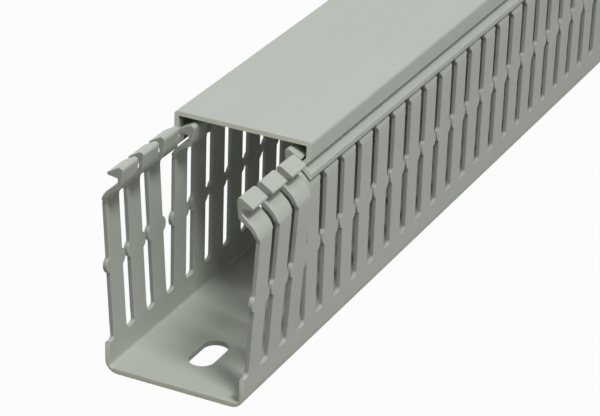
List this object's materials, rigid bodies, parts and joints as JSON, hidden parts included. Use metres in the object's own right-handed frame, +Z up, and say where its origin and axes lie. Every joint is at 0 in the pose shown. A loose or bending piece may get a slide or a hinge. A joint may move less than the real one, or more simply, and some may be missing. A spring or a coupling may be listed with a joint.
{
  "type": "slotted wire duct",
  "caption": "Straight slotted wire duct: open plastic channel with fingered side walls that end in snap hooks, and a clip-on cover set back from one end.",
  "frame": {"origin": "middle of the duct's length and width, on the underside of the base", "axes": "+X along the duct, away from the end where the cover is set back; +Z up out of the open side; +Y across"},
  "size_m": [1, 0.0447, 0.06],
  "materials": {
    "grey_pvc": "satin extruded rigid PVC, light grey"
  },
  "bodies": {
    "duct": {"duct_body": "grey_pvc"},
    "lid": {"cover": "grey_pvc"}
  },
  "joints": [
    {"name": "cover_slide", "type": "slide", "parent": "duct", "child": "lid", "axis": [1, 0, 0], "range_m": [0, 0.97]}
  ]
}
